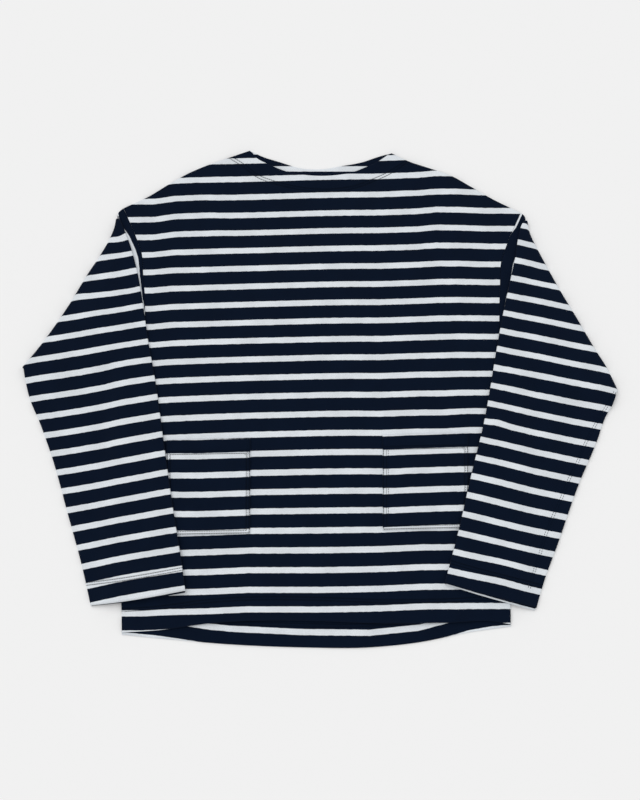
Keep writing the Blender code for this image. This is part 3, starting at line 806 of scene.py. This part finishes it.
def front_cloth(x, y):
    """Place in the front's cloth: across, and along from the middle of a white stripe."""
    columns, *drifts = np.array(STRIPE_DRIFT, float).T
    chest, middle, hem = (np.interp(x, columns, row) for row in drifts)
    top_y, middle_y, hem_y = DRIFT_ROWS
    upper = smoothstep(middle_y, top_y, y)
    lower = smoothstep(middle_y, hem_y, y)
    drift = middle + (chest - middle) * upper + (hem - middle) * lower
    drift = drift + from_table(y, STRIPE_SAG) + pulled(FRONT_PULLS, x, y)
    return np.stack([x, y - drift - FRONT_STRIPE], axis=-1)


def back_cloth(x, y):
    """Place in the back's cloth, whose stripes turn from level to the run of its hem."""
    start = from_table(x, BACK_HEM) + from_table(x, BACK_HEM_STRIPE)
    share = (y - start) / (BACK_NECK_STRIPE - start)
    return np.stack([x, share * BACK_STRIPES * STRIPE_PITCH], axis=-1)


def shell_faces(rows, columns, is_tube):
    """Faces of a closed wall between two grids of rows and columns, numbered one after the other."""
    offset = rows * columns
    last = columns if is_tube else columns - 1
    row, column = np.meshgrid(np.arange(rows - 1), np.arange(last), indexing="ij")
    here = (row * columns + column).ravel()
    beside = (row * columns + (column + 1) % columns).ravel()
    upper = np.stack([here, beside, beside + columns, here + columns], axis=1)
    faces = [upper[:, ::-1], upper + offset]
    ring = np.arange(last)
    beside = (ring + 1) % columns
    first = np.stack([ring, beside, beside + offset, ring + offset], axis=1)
    faces += [first, (first + (rows - 1) * columns)[:, ::-1]]
    if not is_tube:
        strip = np.arange(rows - 1) * columns
        first = np.stack([strip, strip + offset, strip + columns + offset, strip + columns], axis=1)
        faces += [first, (first + columns - 1)[:, ::-1]]
    return np.concatenate(faces)


def add_piece(name, points, faces, material, attributes):
    """A smooth mesh object of points in millimetres, with its vertex attributes."""
    mesh = bpy.data.meshes.new(name)
    mesh.from_pydata((points * MM).tolist(), [], faces.tolist())
    for attribute, values in attributes.items():
        kind = "FLOAT_VECTOR" if values.ndim == 2 else "FLOAT"
        layer = mesh.attributes.new(attribute, kind, "POINT")
        layer.data.foreach_set("vector" if values.ndim == 2 else "value", values.astype(np.float32).ravel())
    mesh.materials.append(material)
    mesh.shade_smooth()
    piece = bpy.data.objects.new(name, mesh)
    bpy.context.scene.collection.objects.link(piece)
    return piece


def add_shell(name, walls, cloths, seams, material, is_tube):
    """One cloth piece from the two sides of its wall, each node's cloth and its distance to a seam."""
    rows, columns = walls[0].shape[:2]
    points = np.concatenate([wall.reshape(-1, 3) for wall in walls])
    cloth = np.concatenate([grid.reshape(-1, 2) for grid in cloths])
    seam = np.concatenate([grid.reshape(-1) for grid in seams])
    faces = shell_faces(rows, columns, is_tube)
    centre = points.mean(axis=0)
    quads = points[faces]
    normals = np.cross(quads[:, 2] - quads[:, 0], quads[:, 3] - quads[:, 1])
    volume = (normals * (quads.mean(axis=1) - centre)).sum()
    if volume < 0:
        faces = faces[:, ::-1]
    return add_piece(name, points, faces, material,
                     {"cloth": np.column_stack([cloth, np.zeros(len(cloth))]), "seam": seam})


class Graph:
    """Short ways to add and link the nodes of one material."""

    def __init__(self, name):
        self.material = bpy.data.materials.new(name)
        self.material.use_nodes = True
        self.tree = self.material.node_tree
        self.shader = self.tree.nodes["Principled BSDF"]

    def node(self, kind, inputs, **settings):
        node = self.tree.nodes.new(kind)
        for key, value in settings.items():
            setattr(node, key, value)
        for key, value in inputs.items():
            if isinstance(value, bpy.types.NodeSocket):
                self.tree.links.new(value, node.inputs[key])
            else:
                node.inputs[key].default_value = value
        return node

    def math(self, operation, *values):
        return self.node("ShaderNodeMath", dict(enumerate(values)), operation=operation).outputs[0]

    def ramp(self, value, low, high, to_low=0.0, to_high=1.0):
        """A smooth change from to_low to to_high while value goes from low to high."""
        inputs = {"Value": value, "From Min": low, "From Max": high, "To Min": to_low, "To Max": to_high}
        return self.node("ShaderNodeMapRange", inputs, interpolation_type="SMOOTHSTEP").outputs[0]

    def mix(self, share, colour_a, colour_b):
        inputs = {0: share, 6: colour_a, 7: colour_b}
        return self.node("ShaderNodeMix", inputs, data_type="RGBA").outputs[2]

    def noise(self, vector, scale, detail=2.0):
        inputs = {"Vector": vector, "Scale": scale, "Detail": detail}
        return self.node("ShaderNodeTexNoise", inputs).outputs["Fac"]

    def finished(self, colour, finish):
        """The material with its colour linked and the shader's plain inputs set."""
        self.tree.links.new(colour, self.shader.inputs["Base Color"])
        for key, value in finish.items():
            self.shader.inputs[key].default_value = value
        return self.material


def jersey_material(name):
    """Striped jersey: knit ribs and loops, uneven yarn, and dimples along its sewn lines, whose grooves get
    painted shade in the colour.
    """
    graph = Graph(name)
    place = graph.node("ShaderNodeAttribute", {}, attribute_name="cloth").outputs["Vector"]
    seam = graph.node("ShaderNodeAttribute", {}, attribute_name="seam").outputs["Fac"]
    axes = graph.node("ShaderNodeSeparateXYZ", {0: place})
    across, along = axes.outputs[0], axes.outputs[1]
    # Ribs of loops, each a column of small Vs
    rib = graph.math("PINGPONG", graph.math("DIVIDE", across, RIB_PITCH), 0.5)
    slant = graph.math("MULTIPLY", rib, 9.0)
    loop = graph.math("SINE", graph.math("MULTIPLY_ADD", along, 6.28 / LOOP_PITCH, slant))
    yarn = graph.noise(place, YARN_SCALE, 3.0)
    wander = graph.noise(place, WANDER_SCALE, 2.0)
    # Stripe edges step with the loops and wander a little
    edge = graph.math("MULTIPLY_ADD", rib, 0.7, along)
    edge = graph.math("MULTIPLY_ADD", yarn, 0.5, edge)
    edge = graph.math("MULTIPLY_ADD", wander, 1.2, edge)
    shifted = graph.math("SUBTRACT", edge, 1.0)
    wave = graph.math("PINGPONG", shifted, STRIPE_PITCH / 2)
    white = graph.ramp(wave, WHITE_WIDTH / 2 - 0.25, WHITE_WIDTH / 2 + 0.25, 1.0, 0.0)
    colour = graph.mix(white, NAVY, WHITE)
    shade = graph.ramp(yarn, 0.3, 0.7, 0.9, 1.08)
    patches = graph.ramp(graph.noise(place, SHADE_SCALE, 3.0), 0.3, 0.7, 0.94, 1.05)
    shade = graph.math("MULTIPLY", shade, patches)
    # Painted shade: the colour darkens to 0.6 along the twin grooves of the sewn lines
    needle = graph.math("ABSOLUTE", graph.math("SUBTRACT", graph.math("ABSOLUTE", seam), NEEDLE_GAP / 2))
    shade = graph.math("MULTIPLY", shade, graph.ramp(needle, 0.3, 1.1, 0.6, 1.0))
    colour = graph.node("ShaderNodeVectorMath", {0: colour, 1: shade}, operation="MULTIPLY").outputs[0]
    # Relief in tenths of a millimetre: loops, ribs, fuzz, and the twin grooves of sewn lines
    relief = graph.math("MULTIPLY", loop, 0.25)
    relief = graph.math("MULTIPLY_ADD", rib, 1.2, relief)
    relief = graph.math("MULTIPLY_ADD", yarn, 1.0, relief)
    relief = graph.math("ADD", relief, graph.ramp(needle, 0.2, 1.6, -3.0, 0.0))
    relief = graph.math("ADD", relief, graph.ramp(seam, -1.0, 1.5, 0.0, 3.0))
    bump = graph.node("ShaderNodeBump", {"Height": relief, "Distance": 0.1 * MM, "Strength": 1.0})
    graph.tree.links.new(bump.outputs[0], graph.shader.inputs["Normal"])
    return graph.finished(colour, JERSEY_FINISH)


def thread_material():
    """Navy sewing thread with a faint twist."""
    graph = Graph("sewing_thread")
    place = graph.node("ShaderNodeTexCoord", {}).outputs["Object"]
    return graph.finished(graph.mix(graph.noise(place, THREAD_SCALE), *THREAD_COLOURS), THREAD_FINISH)


def floor_material():
    """Pale plain surface."""
    graph = Graph("pale_floor")
    place = graph.node("ShaderNodeTexCoord", {}).outputs["Object"]
    low = tuple(0.995 * value for value in FLOOR_COLOUR[:3]) + (1.0,)
    return graph.finished(graph.mix(graph.noise(place, FLOOR_SCALE), low, FLOOR_COLOUR), FLOOR_FINISH)


def edge_band(lines, x, y):
    """How far a place lies inside the nearest turned hem; lines are (points, depth)."""
    inside = np.full(np.shape(x), -FAR)
    for points, depth in lines:
        distance, _, _ = line_distance(points, x, y)
        inside = np.maximum(inside, depth - distance)
    return inside


def add_body(material):
    """The front and back panels."""
    front_borders = panel_borders(FRONT_NECK, FRONT_HEM)
    back_borders = panel_borders(BACK_NECK, BACK_HEM)
    pieces = {}
    for name, borders, neck, hem, cloth in (
            ("front", front_borders, FRONT_NECK, FRONT_HEM, front_cloth),
            ("back", back_borders, BACK_NECK, BACK_HEM, back_cloth)):
        walls = panel_walls(borders, name == "front")
        cloths = [cloth(wall[..., 0], wall[..., 1]) for wall in walls]
        x, y = walls[0][..., 0], walls[0][..., 1]
        band = edge_band([(hem, HEM_BAND)], x, y)
        if name == "front":
            distance, side, _ = line_distance(NECK_STITCHES, x, y)
            band = np.maximum(band, distance * side)
        else:
            band = np.maximum(band, edge_band([(neck, NECK_BAND)], x, y))
        pieces[name] = add_shell(name, walls, cloths, [band, band], material, is_tube=False)
    return pieces, front_borders


def add_sleeve(name, half, body_border, material):
    """One folded sleeve."""
    (outer, outer_cloth), (inner, inner_cloth) = sleeve_walls(half, body_border, name)
    cuff = half_rows(half, "cuff")
    bands = []
    first = UPPER_ARM_CELLS + FOLD_CELLS
    for wall in (outer, inner):
        band = edge_band([(cuff, CUFF_BAND)], wall[..., 0], wall[..., 1])
        band[:first] = -FAR
        bands.append(band)
    shell = add_shell(name, [outer, inner], [outer_cloth, inner_cloth], bands, material, is_tube=True)
    return shell, sleeve_stitches(half, outer)


def add_pocket(name, corners, material):
    """One patch pocket."""
    walls = pocket_walls(corners)
    top_left, top_right, bottom_right, bottom_left = corners
    lines = [([top_left, top_right], MOUTH_BAND), ([top_right, bottom_right], POCKET_EDGE),
             ([bottom_right, bottom_left], POCKET_EDGE), ([bottom_left, top_left], POCKET_EDGE)]
    band = edge_band(lines, walls[0][..., 0], walls[0][..., 1])
    cloths = []
    for wall in walls:
        cloth = front_cloth(wall[..., 0], wall[..., 1])
        cloth[..., 1] += from_table(wall[..., 0], POCKET_SLIP)
        cloths.append(cloth)
    return add_shell(name, walls, cloths, [band, band], material, is_tube=False)


def rows_of_stitches(paths):
    """Points and faces of stitches along paths; each path is (points, unit ways out of the cloth)."""
    points, faces = [], []
    turn = np.arange(THREAD_SIDES) * 2 * np.pi / THREAD_SIDES
    for path, out in paths:
        length = np.concatenate([[0], np.cumsum(np.linalg.norm(np.diff(path, axis=0), axis=1))])
        count = int(length[-1] / STITCH_PITCH)
        starts = (np.arange(count) + (1 - STITCH_FILL) / 2) * length[-1] / count
        ends = starts + STITCH_FILL * length[-1] / count

        def at(place, values):
            return np.stack([np.interp(place, length, values[:, k]) for k in range(3)], axis=1)

        along = at(ends, path) - at(starts, path)
        along /= np.linalg.norm(along, axis=1, keepdims=True)
        up = at((starts + ends) / 2, out)
        side = np.cross(along, up)
        for i in range(count):
            first = len(points) * THREAD_SIDES
            for share, width, depth in STITCH_RINGS:
                place = starts[i] + share * (ends[i] - starts[i])
                middle = at(np.array([place]), path)[0] + up[i] * (THREAD_RADIUS / 2 - depth)
                ring = (np.cos(turn)[:, None] * side[i] + np.sin(turn)[:, None] * up[i]) * THREAD_RADIUS
                points.append(middle + ring * width)
            for step in range(len(STITCH_RINGS) - 1):
                for k in range(THREAD_SIDES):
                    beside = (k + 1) % THREAD_SIDES
                    low = first + step * THREAD_SIDES
                    faces.append([low + k, low + beside, low + beside + THREAD_SIDES,
                                  low + k + THREAD_SIDES])
    return np.concatenate(points), faces


def flat_path(line, height, facing=1.0):
    """A path of stitches along a line of places, on cloth that faces up, or down for -1."""
    return np.column_stack([line, height]), np.tile([0.0, 0.0, facing], (len(line), 1))


def even_line(points, cells=120):
    return curve(points)(np.linspace(0, 1, cells + 1))


def twin(distance, gap=NEEDLE_GAP):
    return distance - gap / 2, distance + gap / 2


def hem_lines(hem):
    """The twin rows along a hem, as lines of places."""
    return [inset(even_line(hem, 200), -1, depth)[2:-2] for depth in twin(HEM_BAND)]


def front_stitches():
    """Twin rows round the neck and along the hem of the front."""
    lines = [inset(even_line(NECK_STITCHES), 1, off)[1:-1] for off in twin(0.0)]
    return [flat_path(line, front_top(*line.T)) for line in lines + hem_lines(FRONT_HEM)]


def back_stitches():
    """Twin rows along the hem of the back, inside and out, and round its neck on the outside."""
    paths = []
    for line in hem_lines(BACK_HEM):
        paths.append(flat_path(line, WALL + back_lift(*line.T)))
        paths.append(flat_path(line, THREAD_RADIUS / 2 + back_lift(*line.T), -1.0))
    for depth in twin(NECK_BAND):
        line = inset(even_line(BACK_NECK), 1, depth)
        paths.append(flat_path(line, THREAD_RADIUS / 2 + back_lift(*line.T), -1.0))
    return paths


def pocket_stitches(corners, sewn):
    """Rows round three sides of a pocket and twin rows along its mouth."""
    top_left, top_right, bottom_right, bottom_left = np.array(corners, float)
    right = (top_right - top_left) / np.linalg.norm(top_right - top_left)
    down = (bottom_left - top_left) / np.linalg.norm(bottom_left - top_left)
    lines = []
    for left_side, foot, right_side in zip(*sewn):
        low_left = bottom_left + right * left_side - down * foot
        low_right = bottom_right - right * right_side - down * foot
        lines += [(top_left + right * left_side + down, low_left), (low_left, low_right),
                  (low_right, top_right - right * right_side + down)]
    lines += [(top_left + right + down * depth, top_right - right + down * depth)
              for depth in twin(MOUTH_BAND)]
    paths = []
    for start, end in lines:
        line = start + (end - start) * np.linspace(0, 1, 60)[:, None]
        share_across = ((line - top_left) @ right) / np.linalg.norm(top_right - top_left)
        share_up = 1 - ((line - top_left) @ down) / np.linalg.norm(bottom_left - top_left)
        height = front_top(*line.T) + POCKET_GAP + WALL + mouth_lift(share_across, share_up)
        paths.append(flat_path(line, height))
    return paths


def sleeve_stitches(half, wall):
    """Twin rows all round the cuff, and along the underarm seam where it shows."""
    lower = wall[UPPER_ARM_CELLS + FOLD_CELLS:]
    from_cuff = lower[::-1]
    steps = np.linalg.norm(np.diff(from_cuff, axis=0), axis=2)
    reach = np.concatenate([np.zeros((1, steps.shape[1])), np.cumsum(steps, axis=0)])
    ring_out = np.cross(np.roll(from_cuff, -1, axis=1) - np.roll(from_cuff, 1, axis=1),
                        np.gradient(from_cuff, axis=0))
    ring_out /= np.linalg.norm(ring_out, axis=2, keepdims=True)
    centre = from_cuff.mean(axis=1, keepdims=True)
    outward = np.sign(((from_cuff - centre) * ring_out).sum(axis=(1, 2), keepdims=True))
    ring_out = ring_out * outward
    paths = []
    for depth in twin(CUFF_BAND, CUFF_NEEDLE_GAP):
        ring, out = [], []
        for k in range(lower.shape[1]):
            ring.append([np.interp(depth, reach[:, k], from_cuff[:, k, axis]) for axis in range(3)])
            out.append([np.interp(depth, reach[:, k], ring_out[:, k, axis]) for axis in range(3)])
        paths.append((np.array(ring + ring[:1]), np.array(out + out[:1])))
    if half["underarm_stitches"]:
        shown = lower[:, -len(TUBE_EDGE_ANGLES) - ARMHOLE_CELLS - 1:-len(TUBE_EDGE_ANGLES)].reshape(-1, 3)
        for way_out in (-1, 1):
            line = inset(even_line(half_rows(half, "underarm_stitches")), way_out, CUFF_NEEDLE_GAP / 2)
            height = []
            for place in line:
                distance = np.hypot(*(shown[:, :2] - place).T)
                nearest = np.argsort(distance)[:4]
                weight = 1 / (distance[nearest] + 0.01)
                height.append((shown[nearest, 2] * weight).sum() / weight.sum())
            paths.append(flat_path(line, height))
    return paths


def add_stitches(name, paths, material):
    """One mesh of all the stitches of a piece."""
    points, faces = rows_of_stitches(paths)
    return add_piece(name, points, np.array(faces), material, {})


def add_stage():
    """Floor, light and camera."""
    reach = FLOOR_SIZE / 2
    corners = np.array([(-reach, -reach, FLOOR_Z), (reach, -reach, FLOOR_Z),
                        (reach, reach, FLOOR_Z), (-reach, reach, FLOOR_Z)])
    floor = add_piece("floor", corners, np.array([[0, 1, 2, 3]]), floor_material(), {})
    scene = bpy.context.scene
    world = bpy.data.worlds.new("studio")
    world.use_nodes = True
    world.node_tree.nodes["Background"].inputs["Color"].default_value = (1.0, 1.0, 1.0, 1.0)
    world.node_tree.nodes["Background"].inputs["Strength"].default_value = WORLD_STRENGTH
    scene.world = world
    key_data = bpy.data.lights.new("key", "SUN")
    key_data.energy = KEY_STRENGTH
    key_data.angle = np.radians(KEY_ANGLE)
    key = bpy.data.objects.new("key", key_data)
    key.rotation_euler = Vector(KEY_DIRECTION).to_track_quat("Z", "Y").to_euler()
    scene.collection.objects.link(key)
    camera_data = bpy.data.cameras.new("camera")
    camera_data.lens = CAMERA_LENS
    camera_data.sensor_width = SENSOR_WIDTH
    camera = bpy.data.objects.new("camera", camera_data)
    elevation = np.radians(CAMERA_ELEVATION)
    away = Vector((0, -np.cos(elevation), np.sin(elevation)))
    camera.location = (Vector(CAMERA_TARGET) + away * CAMERA_DISTANCE) * MM
    camera.rotation_euler = away.to_track_quat("Z", "Y").to_euler()
    scene.collection.objects.link(camera)
    scene.camera = camera
    scene.view_settings.view_transform = "Standard"


def main():
    jersey = jersey_material("striped_jersey")
    thread = thread_material()
    body, front_borders = add_body(jersey)
    pieces = {"front_panel": (body["front"], front_stitches()), "back_panel": (body["back"], back_stitches())}
    for name, half, side in (("right_sleeve", RIGHT_HALF, "low_x"), ("left_sleeve", LEFT_HALF, "high_x")):
        pieces[name] = add_sleeve(name, half, front_borders[side], jersey)
    for name, corners in POCKETS.items():
        pieces[name] = (add_pocket(name, corners, jersey), pocket_stitches(corners, POCKET_ROWS[name]))
    for node, (piece, paths) in pieces.items():
        piece.name = node + "_cloth"
        stitches = add_stitches(node + "_stitches", paths, thread)
        for part in (piece, stitches):
            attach(part, "root")
        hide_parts(node)
    add_stage()


main()
